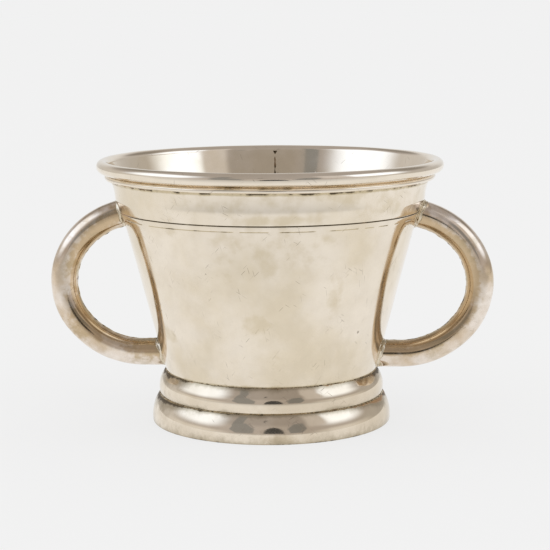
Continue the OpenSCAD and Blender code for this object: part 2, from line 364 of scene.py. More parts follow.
def silverFinish(name, look):
    material, tree, _ = newMaterial(name)
    shader = tree.nodes["Principled BSDF"].inputs
    spot = addNode(tree, "TexCoord").outputs["Object"]
    unrolled = addNode(tree, "UVMap", uv_map="unrolled").outputs[0]
    grime = addNode(tree, "Attribute", attribute_name="grime").outputs["Fac"]
    # veil: stains, and painted shade on the front of the foot and wall, the collar and the handles'
    # front-facing inner halves
    stain = addNode(tree, "Attribute", attribute_name="veil").outputs["Fac"]

    def effect(group, **values):
        return addNode(tree, "Group", values, node_tree=groups[group]).outputs

    def scratched(kind):
        plain = {key: look[kind + key] for key in ("Width", "Share", "Turn", "Bunched")}
        return effect("polish", Vector=unrolled, Length=look[kind + "Length"] * mm,
                      Spacing=look[kind + "Spacing"] * mm, **plain)

    toned = {tone.capitalize(): look[tone] for tone in tones}
    tarnish = effect("tarnish", Vector=spot, Grime=grime, Stain=stain, **toned)
    hairlines = scratched("hair")
    scratches = scratched("scratch")
    pits = effect("pits", Vector=spot, Closeness=look["pitCloseness"], Share=look["pitShare"])
    film, dirt = tarnish["Film"], tarnish["Dirt"]
    marks = times(pits["Mask"], look["pitDark"])
    marks = calc("MAXIMUM", marks, times(scratches["Mask"], look["scratchDark"]))
    marks = calc("MAXIMUM", marks, times(hairlines["Mask"], look["hairDark"]))
    tree.links.new(mixColour(marks, tarnish["Color"], look["brown"]), shader["Base Color"])
    smear = cloud(spot, look["patches"] * look["smearScale"], 4)
    gloss = span(smear, *look["smearEdge"], look["rough"], look["rough"] + look["smear"])
    gloss = timesPlus(film, look["filmRough"], gloss)
    gloss = timesPlus(dirt, look["dirtRough"], gloss)
    gloss = timesPlus(hairlines["Mask"], look["hairRough"], gloss)
    # the third image of an image and later ones are soft, so that deep corners aren't left black
    often = calc("GREATER_THAN", addNode(tree, "LightPath").outputs["Glossy Depth"], 1.5)
    gloss = timesPlus(often, look["deepRough"], gloss)
    tree.links.new(gloss, shader["Roughness"])
    tree.links.new(timesPlus(dirt, -look["dirtLoss"], 1.0), shader["Metallic"])
    height = times(cloud(spot, look["waveScale"], 2), look["waveH"])
    height = timesPlus(hairlines["Height"], look["hairH"], height)
    height = timesPlus(scratches["Height"], look["scratchH"], height)
    height = timesPlus(pits["Height"], look["pitH"], height)
    crust = times(cloud(spot, look["crustScale"], 2), times(dirt, look["crustH"]))
    bumps = {"Height": calc("ADD", height, crust), "Strength": 1.0, "Distance": mm}
    tree.links.new(addNode(tree, "Bump", bumps).outputs[0], shader["Normal"])
    return material


# heights and lengths are in millimetres, scales per metre, colours are linear
bodyLook = dict(
    silver=(0.92, 0.83, 0.705), warm=(0.785, 0.68, 0.51), olive=(0.58, 0.475, 0.295),
    brown=(0.10, 0.07, 0.035), copper=(0.42, 0.25, 0.12),
    patches=36.0, veil=0.85, mottle=0.05,
    rough=0.06, smear=0.06, smearScale=2.7, smearEdge=(0.35, 0.7),
    filmRough=0.12, dirtRough=0.3, dirtLoss=0.4, deepRough=0.4,
    hairLength=7.0, hairSpacing=0.7, hairWidth=0.1, hairShare=0.35, hairTurn=0.4,
    hairBunched=0.3, hairDark=0.03, hairRough=0.06, hairH=0.0006,
    scratchLength=2.6, scratchSpacing=1.5, scratchWidth=0.08, scratchShare=0.11, scratchTurn=1.3,
    scratchBunched=0.95, scratchDark=0.65, scratchH=0.01,
    pitCloseness=240.0, pitShare=0.045, pitDark=0.55, pitH=0.03,
    waveScale=130.0, waveH=0.006, crustScale=2600.0, crustH=0.02,
)
rimLook = bodyLook | dict(veil=0.4, mottle=0.03, waveH=0.004, pitShare=0.04)
footLook = bodyLook | dict(
    silver=(0.90, 0.80, 0.66), warm=(0.66, 0.55, 0.40), olive=(0.44, 0.37, 0.26), veil=0.6,
    rough=0.05, smear=0.05,
)
handleLook = bodyLook | dict(
    silver=(0.95, 0.865, 0.78), warm=(0.64, 0.485, 0.31), olive=(0.54, 0.45, 0.29),
    brown=(0.16, 0.11, 0.05), copper=(0.36, 0.21, 0.085), patches=75.0, veil=0.8, mottle=0.1,
    rough=0.085, smear=0.09, waveH=0.01, pitCloseness=420.0, pitShare=0.2, scratchShare=0.12,
)
solderLook = bodyLook | dict(
    silver=(0.76, 0.66, 0.48), warm=(0.62, 0.47, 0.26), copper=(0.25, 0.16, 0.085), patches=160.0,
    veil=0.8, rough=0.16, smear=0.12, pitCloseness=900.0, pitShare=0.3,
    waveScale=700.0, waveH=0.03,
)
bodySilver = silverFinish("bodySilver", bodyLook)
rimSilver = silverFinish("rimSilver", rimLook)
footSilver = silverFinish("footSilver", footLook)
handleSilver = silverFinish("handleSilver", handleLook)
solderSilver = silverFinish("solderSilver", solderLook)
print("finishes made")


# section of the bowl, read from the rim downwards

bowl = dict(
    sheet=1.2,  # thickness
    collarH=12.5,  # from the crease to the top of the rim
    coveR=13.9,  # hollow of the collar
    shoulderLean=22.9, wallLean=14.7,  # lean of the wall under the crease and further down, degrees
    flareR=96.0,  # bend between the two
    creaseSoft=0.1, insideSoft=0.3,  # softness of the crease outside and of the bend inside
    lipLean=17.5,  # lean of the inside below the rim, degrees
    slopeDrop=9.0, slopeEase=0.01,  # where that slope starts under the crease, and how it leaves the wall
    wireProud=0.01,  # how far the rim wire stands proud of the inside
    # scribed lines: drop from the crease, half width, depth, dirt, share that is worn away
    lines=[(4.0, 0.25, 0.22, 0.95, 0.0), (5.8, 0.2, 0.06, 0.6, 0.38)],
    lineEdge=0.2, gapWaves=(22, 2.5, 16),
    around=480, sharp=50,
    # unevenness of the hand-raised sheet; waves are a count, the shortest and the longest
    wave=0.03, waves=(26, 16, 60), outOfRound=0.1, footHold=8, rimHold=0.85, rimHeld=(-6, 4),
    # dirt along the foot, film round the handle ends, and dirt low down inside
    footDirt=0.75, footFade=0.4, jointFilm=0.3, jointReach=3, insideDirt=0.25, insideReach=9,
    # yellowish stains, and painted shade in the wide ones in the middle of the front, under the crease and on
    # the collar, for the darker floor in front that the wall mirrors: azimuth in degrees, height, half width,
    # half height, strength
    stainsAndShade=[(-88, 60, 26, 15, 0.4), (-92, 38, 7.5, 6.5, 0.7), (-84, 26, 4, 6, 0.6), (-144, 31, 7, 4, 0.55),
            (-105, 52, 11, 5, 0.45), (-58, 47, 6, 9, 0.4), (-70, 64, 12, 4, 0.4), (-124, 66, 9, 3, 0.35),
            (-62, 78, 14, 4, 0.6), (-84, 71, 20, 2.5, 0.6)],
    moreStains=14, stainTurns=(-11.459156, 191.459156), stainSizes=[(3, 10), (3, 8), (0.3, 0.8)],
    stainEdge=(0.2, 1.25),
    sideStain=0.12, sideHalf=(0.12, 0.34),  # duller strips behind the handles, radians
    # painted shade: the collar darker all round, for the darker far floor it mirrors, from these heights
    # under the crease
    collarShade=0.32, collarFrom=(-8, -2),
)
rim = dict(
    beadR=0.75, beadDrop=3.45, beadSeat=0.2, around=480, wireSides=64, beadSides=28,
    wireWave=0.012, beadWave=0.024, waves=(18, 8, 50),
    wireSolder=0.45, beadSolder=0.4, solder=dict(belly=1.4, uneven=0.2), beadSolderDirt=0.78,
    # dirty stretches of the hollow over the bead: azimuth in degrees, half width, strength
    dashes=[(-99.5, 5, 0.55), (-84.5, 6, 0.75), (-122, 7, 0.4), (-60, 4, 0.35), (-146, 3, 0.5)],
    moreDashes=12, dashLimits=[(-10, 190), (2, 7), (0.3, 0.7)], dashSoft=(-1.5, 0.5),
    # dirt everywhere in the hollow and more at the dashes: on the wall, on the wire, on the bead
    coveDirt=(0.02, 0.2), wireDirt=(0.08, 0.12), beadDirt=(0.04, 0.15),
    # where on their round sections: middle, full and bare, radians
    wireLow=(-1.75, 0.3, 1.1), beadLow=(-2.1, 0.2, 1.0), beadHigh=(2.0, 0.2, 0.9), beadLowDirt=0.7,
    # dirt on the wall below the bead, and heights over the bead's lower edge
    underDirt=0.67, under=(-1.4, -0.4), behind=(0.3, 0.8), over=(0.8, 1.2),
    ragged=0.6, raggedLimits=(0.85, 1.3), raggedWaves=(26, 3, 18),
)

creaseZ = cupH - bowl["collarH"]
wireC = np.array([rimR - wireR, cupH - wireR])
coveMid = bowl["coveR"] + bowl["sheet"] / 2
coveC = np.array([wireC[0] + sqrt(coveMid ** 2 - (wireC[1] - creaseZ) ** 2), creaseZ])
shoulderLean = radians(bowl["shoulderLean"])
wallLean = radians(bowl["wallLean"])
flareC = np.array([coveC[0] - bowl["coveR"], creaseZ]) + bowl["flareR"] * toward(-shoulderLean)
flareFoot = flareC - bowl["flareR"] * toward(-wallLean)
beadOrbit = bowl["coveR"] - rim["beadR"] + rim["beadSeat"]
beadTurn = asin((wireC[1] - creaseZ - rim["beadDrop"]) / beadOrbit)
beadC = coveC + beadOrbit * toward(pi - beadTurn)

# inside: a straight slope from below the crease to the inner side of the rim wire
lipLean = radians(bowl["lipLean"])
lipEdge = wireC + (wireR - bowl["wireProud"]) * np.array([-cos(lipLean), sin(lipLean)])
lipZ = lipEdge[1]
slopeZ = creaseZ - bowl["slopeDrop"]


def leaningR(z, depth):
    straight = flareFoot[0] + (z - flareFoot[1]) * tan(wallLean) - depth / cos(wallLean)
    bend = bowl["flareR"] + depth
    flare = flareC[0] - np.sqrt(np.maximum(bend ** 2 - (z - flareC[1]) ** 2, 0))
    changeZ = flareC[1] + bend * sin(wallLean)
    return np.where(z > changeZ, flare, straight)


def wallR(z):
    rise = np.clip(z - creaseZ, -bowl["coveR"], bowl["coveR"])
    cove = coveC[0] - np.sqrt(bowl["coveR"] ** 2 - rise ** 2)
    return softMin(leaningR(z, 0.0), cove, bowl["creaseSoft"])


def insideR(z):
    slope = lipEdge[0] - (lipZ - z) * tan(lipLean)
    slope = slope + bowl["slopeEase"] * np.maximum(slopeZ - z, 0) ** 2
    return softMin(leaningR(z, bowl["sheet"]), slope, bowl["insideSoft"])


def jointHeight(end):
    low, high = nodeBox("right_" + end + "_solder")
    return (low[2] + high[2]) / 2


wallMidR = float(wallR((footH + creaseZ) / 2))
jointZ = [jointHeight("upper"), jointHeight("lower")]


def scattered(placed, count, limits):
    # the placed marks, and more of them drawn between limits
    return placed + [[draw.uniform(*limit) for limit in limits] for _ in range(count)]


dashes = scattered(rim["dashes"], rim["moreDashes"], rim["dashLimits"])


def dashDirt(angle, plain=0.0, more=1.0):
    # how dirty the hollow over the bead is, round the rim
    dirty = 0 * angle
    for turn, half, strength in dashes:
        here = fallOff(*rim["dashSoft"], degreesFrom(angle, turn) - half)
        dirty = np.maximum(dirty, strength * here)
    return plain + more * dirty


def meshRows(*parts):
    return np.unique(np.round(np.concatenate(parts), 4))


def makeBowl():
    cuts = [creaseZ - drop + half * np.linspace(-1.2, 1.2, 9) for drop, half, *_ in bowl["lines"]]
    flareZ = float(flareFoot[1])
    # heights of the mesh rows, closer together at the foot, the lines and the crease
    outZ = meshRows(
        np.linspace(footH, footH + 3, 13), np.arange(footH + 4, flareZ, 1.2),
        np.arange(flareZ, creaseZ - 0.7, 0.8), *cuts,
        np.linspace(creaseZ - 0.7, creaseZ + 0.7, 13), np.linspace(creaseZ + 1, wireC[1] - 0.7, 34),
    )
    inZ = meshRows(
        np.linspace(footH, flareZ, 26), np.linspace(flareZ + 0.5, creaseZ - 1, 14),
        np.linspace(creaseZ - 0.8, creaseZ + 1.6, 13), np.linspace(creaseZ + 2, lipZ, 28),
    )[::-1]
    outside = np.stack([wallR(outZ), outZ], 1)
    inside = np.stack([insideR(inZ), inZ], 1)
    angle, radius, z = latheGrid(np.concatenate([outside, inside]), bowl["around"])
    isOut = np.arange(z.shape[1])[None, :] < len(outZ)
    # hand-raised unevenness, held back at the foot and the rim
    sway = ripple(*bowl["waves"], wallMidR)
    free = ramp(footH, footH + bowl["footHold"], z)
    free = free * (1 - bowl["rimHold"] * ramp(*bowl["rimHeld"], z - creaseZ))
    radius += free * (bowl["wave"] * sway(angle, z) + bowl["outOfRound"] * np.cos(2 * angle + 0.6))
    # scribed lines, the lower one fainter
    grime = np.zeros_like(z)
    worn = 0.5 + 0.5 * ripple(*bowl["gapWaves"], wallMidR)(angle, 0.0)
    edge = bowl["lineEdge"]
    for drop, half, depth, dirt, gaps in bowl["lines"]:
        left = ramp(gaps - edge, gaps + edge, worn) if gaps else 1.0
        cut = np.clip(1 - np.abs(z - (creaseZ - drop)) / half, 0, 1) * isOut * left
        radius -= depth * cut
        grime += (cut > edge) * dirt
    # dirt along the foot and under the bead, and a film round the handle ends
    grime += isOut * bowl["footDirt"] * np.exp(-(z - footH) / bowl["footFade"])
    ragged = 1 + rim["ragged"] * ripple(*rim["raggedWaves"], rimR)(angle, 0.0)
    ragged = np.clip(ragged, *rim["raggedLimits"])
    lift = z - (beadC[1] - rim["beadR"])
    under = ramp(*rim["under"], lift) * fallOff(*rim["behind"], lift)
    over = dashDirt(angle, *rim["coveDirt"]) * ramp(*rim["over"], lift)
    grime += isOut * (rim["underDirt"] * ragged * under + over)
    for side in (0, pi):
        for joint in jointZ:
            away = np.hypot(turnFrom(angle, side) * radius, z - joint)
            grime += isOut * bowl["jointFilm"] * fallOff(tubeR, tubeR + bowl["jointReach"], away)
    grime += ~isOut * bowl["insideDirt"] * fallOff(footH, footH + bowl["insideReach"], z)
    fromSide = np.minimum(np.abs(turnFrom(angle, 0)), np.abs(turnFrom(angle, pi)))
    veil = bowl["sideStain"] * fallOff(*bowl["sideHalf"], fromSide) * isOut
    # painted shade over the collar, for its darker image of the far floor
    veil = np.maximum(veil, bowl["collarShade"] * ramp(*bowl["collarFrom"], z - creaseZ) * isOut)
    # real stains, with painted shade in the wide ones in the middle of the front
    limits = [bowl["stainTurns"], (footH + 5, creaseZ - 8), *bowl["stainSizes"]]
    for turn, height, wide, high, strength in scattered(bowl["stainsAndShade"], bowl["moreStains"], limits):
        away = np.hypot(turnFrom(angle, radians(turn)) * radius / wide, (z - height) / high)
        veil = np.maximum(veil, strength * fallOff(*bowl["stainEdge"], away) * isOut)
    points = fromLathe(angle, radius, z)
    piece = gridPiece("bowlWall", points, grime=grime, veil=veil, sharp=bowl["sharp"])
    dress(piece, "bowl_wall", bodySilver)


makeBowl()


seam = dict(
    azimuth=92.0, half=0.46, proud=0.05, sunk=0.25, wander=0.05, rough=0.02,
    blob=1.2, blobH=1.1,  # wider at the top
    fromFoot=0.3, fromLip=0.4, steps=110, waves=(12, 2, 9), dirt=1.0,
)


def makeWallSeam():
    # upright soldered seam of the sheet, a little proud on both sides
    z = np.linspace(footH + seam["fromFoot"], lipZ - seam["fromLip"], seam["steps"])
    bumps = ripple(*seam["waves"], wallMidR)
    ways = np.array([-1, -0.6, 0, 0.6, 1]) * seam["half"]
    lift = np.array([-seam["sunk"], 0, seam["proud"], 0, -seam["sunk"]])
    strips = []
    for height, r, out in ((z, wallR(z), 1), (z[::-1], insideR(z[::-1]), -1)):
        swell = 1 + seam["blob"] * np.exp(-(z[-1] - height) / seam["blobH"])
        across = ways[None, ::out] * swell[:, None] + seam["wander"] * bumps(0.0, height)[:, None]
        deep = r[:, None] + out * (lift[None, :] + seam["rough"] * bumps(1.0, height)[:, None])
        strips.append(np.stack(np.broadcast_arrays(across, deep, height[:, None]), -1))
    # outside and inside strips share their ends, so the strip is one closed band
    grid = np.concatenate(strips)
    turn = radians(seam["azimuth"]) - grid[..., 0] / wallMidR
    points = fromLathe(turn, grid[..., 1], grid[..., 2])
    piece = gridPiece("wallSeam", points, closedAcross=False, grime=seam["dirt"])
    dress(piece, "wall_seam", solderSilver)


makeWallSeam()


disc = dict(
    thick=1.2, dish=0.25, around=192, sharp=40, wave=0.02, waves=(14, 10, 30), held=(6, 3),
    dirt=0.08, edgeDirt=0.4, edgeReach=5,
    fillet=0.8, bite=0.05, solder=dict(belly=1.6, uneven=0.12, dirt=0.6),
)


def makeBottom():
    reach = float(insideR(footH + disc["thick"]))
    low = float(insideR(footH))
    r = np.concatenate([[0.0], np.linspace(0.6, reach, 26)])
    top = np.stack([r, footH + disc["thick"] - disc["dish"] * np.cos(np.pi / 2 * r / reach)], 1)
    share = np.linspace(1, 0, 12)
    under = np.stack([low * share, footH - 0.5 * disc["dish"] * np.cos(np.pi / 2 * share)], 1)
    angle, radius, z = latheGrid(np.concatenate([top, under]), disc["around"])
    middleHeld, edgeHeld = disc["held"]
    free = ramp(0, middleHeld, radius) * fallOff(reach - edgeHeld, reach, radius)
    z += disc["wave"] * ripple(*disc["waves"], low)(angle, radius) * free
    atEdge = ramp(reach - disc["edgeReach"], reach, radius)
    stain = disc["edgeDirt"] * atEdge + disc["dirt"]
    points = fromLathe(angle, radius, z)
    piece = gridPiece("bowlBottom", points, closedAcross=False, grime=stain, sharp=disc["sharp"])
    mend = bmesh.new()
    mend.from_mesh(piece.data)
    bmesh.ops.remove_doubles(mend, verts=mend.verts, dist=1e-7)
    mend.to_mesh(piece.data)
    mend.free()
    dress(piece, "bowl_bottom", bodySilver)


solderRun = dict(around=480, across=6, sunk=0.12, waves=(24, 4, 40))


def makeFillet(name, node, corner, wallPoint, ledgePoint, belly, uneven, dirt, finish=solderSilver):
    # thin run of solder in a corner: its two edges wander, and its face is a little hollow
    lumps = ripple(*solderRun["waves"], corner[0])
    angle = wholeTurn(solderRun["around"])[:, None]
    swell = (1 + uneven * lumps(angle, 0.0))[..., None]
    rise = np.array(wallPoint) - corner
    ledge = np.array(ledgePoint) - corner
    steps = np.linspace(0, 1, solderRun["across"])
    face = [corner + swell * (rise * (1 - t) ** belly + ledge * t ** belly) for t in steps]
    inward = (rise + ledge) / np.linalg.norm(rise + ledge)
    sunk = [np.broadcast_to(corner - solderRun["sunk"] * inward, face[0].shape)]
    section = np.stack(face + sunk, 1).reshape(len(angle), -1, 2)
    points = fromLathe(angle, section[..., 0], section[..., 1])
    stain = dirt(angle) if callable(dirt) else dirt
    dress(gridPiece(name, points, grime=stain), node, finish)


makeBottom()
bite, fillet = disc["bite"], disc["fillet"]
filletZ = footH + disc["thick"]
filletR = insideR(np.array([filletZ, filletZ + fillet]))
makeFillet("bottomSolder", "bottom_solder", np.array([filletR[0] + bite, filletZ - bite]),
           (filletR[1] + bite, filletZ + fillet), (filletR[0] - fillet, filletZ), **disc["solder"])
print("bowl made")


# rim: a round wire along the lip and a small bead under it

def makeRing(name, node, centre, radius, count, wave, stain):
    section = arcPoints(centre, radius, pi, -pi, count + 1)[:-1]
    angle, r, z = latheGrid(section, rim["around"])
    sway = ripple(*rim["waves"], centre[0])
    r += wave * sway(angle, 0 * z)
    z += wave * sway(angle + 1.0, 0 * z)
    facing = np.arctan2(section[:, 1] - centre[1], section[:, 0] - centre[0])[None, :] + 0 * angle
    piece = gridPiece(name, fromLathe(angle, r, z), grime=stain(facing, angle))
    dress(piece, node, rimSilver)


def facingShare(facing, middle, full, bare):
    return fallOff(full, bare, np.abs(turnFrom(facing, middle)))


def wireStain(facing, angle):
    # olive low down, where the wire meets the collar
    return dashDirt(angle, *rim["wireDirt"]) * facingShare(facing, *rim["wireLow"])


def beadStain(facing, angle):
    # dirty below, and in places above
    low = rim["beadLowDirt"] * facingShare(facing, *rim["beadLow"])
    return low + dashDirt(angle, *rim["beadDirt"]) * facingShare(facing, *rim["beadHigh"])


makeRing("rimWire", "rim_wire", wireC, wireR, rim["wireSides"], rim["wireWave"], wireStain)
makeRing("rimBead", "rim_bead", beadC, rim["beadR"], rim["beadSides"], rim["beadWave"], beadStain)


def cornerUnder(centre, radius):
    # lower corner between the collar and a round moulding
    away = centre - coveC
    gap = np.linalg.norm(away)
    along = (bowl["coveR"] ** 2 - radius ** 2 + gap ** 2) / (2 * gap)
    across = sqrt(bowl["coveR"] ** 2 - along ** 2)
    return coveC + (away * along + across * np.array([-away[1], away[0]])) / gap


def makeRimSolder(name, node, centre, radius, reach, dirt, finish):
    corner = cornerUnder(centre, radius)
    onCove = corner - coveC
    cove = atan2(onCove[1], onCove[0]) + reach / bowl["coveR"]
    ring = atan2(*(corner - centre)[::-1]) + reach / radius
    makeFillet(name, node, corner, coveC + bowl["coveR"] * toward(cove), centre + radius * toward(ring),
               dirt=dirt, finish=finish, **rim["solder"])


makeRimSolder("rimWireSolder", "rim_wire_solder", wireC, wireR, rim["wireSolder"], dashDirt, rimSilver)
makeRimSolder("rimBeadSolder", "rim_bead_solder", beadC, rim["beadR"], rim["beadSolder"],
              rim["beadSolderDirt"], solderSilver)
print("rim made")


# foot: two bulging bands, one on the other

foot = dict(
    thick=1.5,
    upperR=7.0, upperBelly=2.55, upperLedge=0.26, upperSteep=31,  # steepest slope, degrees
    lowerR=12.1, lowerBelly=1.9, lowerLedge=0.45, lowerSteep=60,
    upperEase=0.06, lowerEase=0.45,  # rounding of the lower edges
    lidIn=0.08, lidDown=0.06,  # rounding of the upper edges
    solderH=0.25, solder=dict(belly=1.2, uneven=0.06, dirt=0.65),
    around=400, up=56, sharp=40, wave=0.012, waves=(20, 9, 45), held=2.5,
    # painted shade on the front, for the darker floor it mirrors towards the camera, and darker sides:
    # azimuth, then degrees away from it
    shadedFrontAt=-81, shadedFrontHalf=17, upperDull=0.25, lowerDull=0.6,
    sideDull=0.35, sideFrom=(52, 75), sideTo=(105, 128),
    # dirt, how much and how far: along the upper edges, more at the sides, along the lower edges
    topDirt=(0.8, 0.7), sideDirt=(0.35, 1.2), sideStart=(45, 70),
    upperDirt=(0.48, 0.8), lowerDirt=(0.5, 1.8), insideDirt=0.6,
    lumps=0.45, lumpLimits=(0.3, 1.7), lumpWaves=(24, 5, 30),
    # dirtier stretches of the joint: azimuth, half width, how much more
    crust=[(-50, 9, 0.9), (-129, 9, 0.5)],
)
upperTopR = float(wallR(footH)) + foot["upperLedge"]


def bandForm(which, low):
    # radius of a band's round bulge, the height of its middle, its steepest slope and where that starts
    bulge, steepest = foot[which + "R"], radians(foot[which + "Steep"])
    bellyZ = low + foot[which + "Belly"]
    return bulge, bellyZ, steepest, bellyZ + bulge * sin(steepest)


def bulgeC(which, edgeR, edgeZ, low):
    # middle of a band's round bulge, from the band's upper edge
    bulge, bellyZ, steepest, steepZ = bandForm(which, low)
    straight = max(edgeZ - steepZ, 0) * tan(steepest)
    return np.array([edgeR + straight - sqrt(bulge ** 2 - (min(edgeZ, steepZ) - bellyZ) ** 2), bellyZ])


upperC = bulgeC("upper", upperTopR, footH, grooveZ)
upperLowR = upperC[0] + sqrt(foot["upperR"] ** 2 - foot["upperBelly"] ** 2)
lowerTopR = upperLowR + foot["lowerLedge"]
lowerC = bulgeC("lower", lowerTopR, grooveZ, 0.0)


def makeBand(which, centre, low, high):
    bulge, _, steepest, steepZ = bandForm(which, low)
    ease, held = foot[which + "Ease"], foot["held"]

    def profile(z, depth):
        r = centre[0] + np.sqrt(bulge ** 2 - (np.minimum(z, steepZ) - centre[1]) ** 2)
        return np.stack([r - np.maximum(z - steepZ, 0) * tan(steepest) - depth, z], 1)

    outer = profile(np.linspace(high - foot["lidDown"], low + ease, foot["up"]), 0.0)
    inner = profile(np.linspace(low, high, 14), foot["thick"])
    rounded = arcPoints(outer[-1] - np.array([ease, 0]), ease, -0.25, -pi / 2, 6)
    lid = np.array([[outer[0][0] - foot["lidIn"], high]])
    section = np.concatenate([outer, rounded, inner, lid])
    section[:, 1] = np.clip(section[:, 1], low, high)
    angle, r, z = latheGrid(section, foot["around"])
    sway = ripple(*foot["waves"], centre[0] + bulge)
    isOuter = np.arange(len(section))[None, :] < len(outer)
    free = ramp(low, low + held, z) * fallOff(high - held, high, z) * isOuter
    r += foot["wave"] * sway(angle, z) * free
    fromFront = degreesFrom(angle, foot["shadedFrontAt"])
    atSide = ramp(*foot["sideStart"], fromFront)
    dirt, fade = (plain + more * atSide for plain, more in zip(foot["topDirt"], foot["sideDirt"]))
    fromTop = dirt * np.exp(-(high - z) / fade)
    lumps = 1 + foot["lumps"] * ripple(*foot["lumpWaves"], centre[0])(angle, 0.0)
    lumps = np.clip(lumps, *foot["lumpLimits"])
    for turn, wide, more in foot["crust"]:
        lumps = lumps + more * np.exp(-(degreesFrom(angle, turn) / wide) ** 2)
    dirt, fade = foot[which + "Dirt"]
    fromLow = dirt * np.exp(-(z - low) / fade) * (lumps if which == "upper" else 1)
    # painted shade: the front of each band darker, for the darker floor it mirrors there; the sides darker
    # too
    veil = foot[which + "Dull"] * np.exp(-(fromFront / foot["shadedFrontHalf"]) ** 2)
    veil = veil * fallOff(low + 1, high - 1, z)
    aside = ramp(*foot["sideFrom"], fromFront) * fallOff(*foot["sideTo"], fromFront)
    veil = (veil + foot["sideDull"] * aside) * isOuter
    grime = np.where(isOuter, fromTop + fromLow, foot["insideDirt"])
    name = "foot" + which.capitalize() + "Band"
    piece = gridPiece(name, fromLathe(angle, r, z), grime=grime, veil=veil, sharp=foot["sharp"])
    dress(piece, "foot_" + which + "_band", footSilver)


makeBand("upper", upperC, grooveZ, footH)
makeBand("lower", lowerC, 0.0, grooveZ)
footJoint = np.array([upperTopR - foot["upperLedge"], footH])
solderTop = footH + foot["solderH"]
makeFillet("footUpperSolder", "foot_upper_solder", footJoint, (float(wallR(solderTop)), solderTop),
           (upperTopR, footH), **foot["solder"])
solderTop = grooveZ + foot["solderH"]
solderR = upperC[0] + sqrt(foot["upperR"] ** 2 - (solderTop - upperC[1]) ** 2)
makeFillet("footLowerSolder", "foot_lower_solder", np.array([upperLowR, grooveZ]), (solderR, solderTop),
           (lowerTopR, grooveZ), **foot["solder"])
print("foot made")


# handles: bent tubes, each a tight outer bend with a wider one above and below and a straight run at the foot

handle = dict(
    bellyR=21.0, drop=0.35, tubeT=1.0, slope=(0.8, 0.6), runEnd=0.75,
    aroundTube=56, along=200, boreAlong=40, sunk=0.5,
    wave=0.03, waves=(16, 8, 40), held=0.06,
    # warm tarnish on the inner half of each, turned to the front by some radians, with painted shade there
    # too, on the side that faces the floor and the camera; and all over in patches
    browner=dict(right=0.8, left=0.42), innerHalf=(0.4, 1.4), innerTurn=0.75,
    warmer=dict(right=0.02, left=0.26), patchy=0.2, warmest=0.5, patches=(14, 6, 30),
    # dirt along the inside of the loop, in patches there and all over, at the ends and in the bore
    loopDirt=0.06, loopPatches=0.22, loopHalf=(0.1, 0.75), patchDirt=0.16,
    endDirt=0.4, endFade=1.2, boreDirt=0.9,
)
tubeSeam = dict(
    half=0.42, proud=0.12, sunk=0.3, edgeSunk=0.06, wander=0.1, steps=320, waves=(26, 1.2, 9),
    lift=0.75, lumps=0.5, least=0.25, width=0.8, swell=0.25, dirt=0.45, dirtLumps=0.25,
)
collar = dict(
    width=0.9, height=1.35, around=128, across=9, hollow=0.75,
    lumps=0.22, limits=(0.55, 1.6), waves=(22, 2.2, 14), rough=0.03, roughWaves=(20, 1.0, 4),
    # on the tube and on the wall
    proud=(0.02, 0.03), sunk=(0.2, 0.25), sunkShare=0.9,
    dirt=0.16, edgeDirt=0.5, sunkDirt=0.6,
)
collarLook = solderLook | dict(
    silver=(0.85, 0.77, 0.64), warm=(0.66, 0.54, 0.37), patches=120.0, veil=0.6, rough=0.12,
    pitCloseness=1100.0, pitShare=0.4, waveScale=900.0, waveH=0.018,
)
collarSilver = silverFinish("collarSilver", collarLook)
lowZ = handleLow[2] + tubeR
topZ = creaseZ - handle["drop"] - tubeR
halfH = (topZ - lowZ) / 2
bendX, bendZ = handle["slope"]
sideR = (halfH - handle["bellyR"] * bendZ) / (1 - bendZ)
bellyC = np.array([reachX - tubeR - handle["bellyR"], lowZ + halfH])
sideStep = sideR - handle["bellyR"]
topC = bellyC - sideStep * np.array([bendX, bendZ])
lowC = bellyC - sideStep * np.array([bendX, -bendZ])
meetAngle = atan2(bendZ, bendX)
bends = [(topC, sideR, pi / 2, meetAngle), (bellyC, handle["bellyR"], meetAngle, -meetAngle),
         (lowC, sideR, -meetAngle, -pi / 2)]
bendEnds = np.cumsum([r * (a - b) for c, r, a, b in bends])
# the straight run ends inside the bowl, before it is trimmed
runL = lowC[0] - handle["runEnd"] * float(wallR(lowZ))
handleL = bendEnds[-1] + runL


def centreLine(s):
    # place on the right handle's centre line and the direction out of the loop, for a length along it
    x, z, outX, outZ = (np.zeros_like(s) for _ in range(4))
    start = 0.0
    for (centre, radius, first, _), end in zip(bends, bendEnds):
        here = (s >= start) & (s <= end)
        a = first - (s - start) / radius
        for target, value in ((x, centre[0] + radius * np.cos(a)), (z, centre[1] + radius * np.sin(a)),
                              (outX, np.cos(a)), (outZ, np.sin(a))):
            target[here] = value[here]
        start = end
    run = s > bendEnds[-1]
    x[run] = (lowC[0] - (s - bendEnds[-1]))[run]
    z[run] = lowZ
    outZ[run] = -1
    return x, z, outX, outZ


def tubePoint(s, turn, radius):
    x, z, outX, outZ = centreLine(s)
    side = radius * np.cos(turn)
    return np.stack([x + side * outX, radius * np.sin(turn), z + side * outZ], -1)


def depthInWall(points):
    return wallR(points[..., 2]) - np.hypot(points[..., 0], points[..., 1])


def tubeEnd(turn, radius, depth, upper):
    # length along the centre line at which the tube's side lies that deep in the wall
    reach = 5 * tubeR
    far = np.full_like(turn, 0.0 if upper else handleL)
    near = np.full_like(turn, reach if upper else handleL - reach)
    for _ in range(40):
        middle = (far + near) / 2
        deep = depthInWall(tubePoint(middle, turn, radius)) > depth
        far = np.where(deep, middle, far)
        near = np.where(deep, near, middle)
    return (far + near) / 2


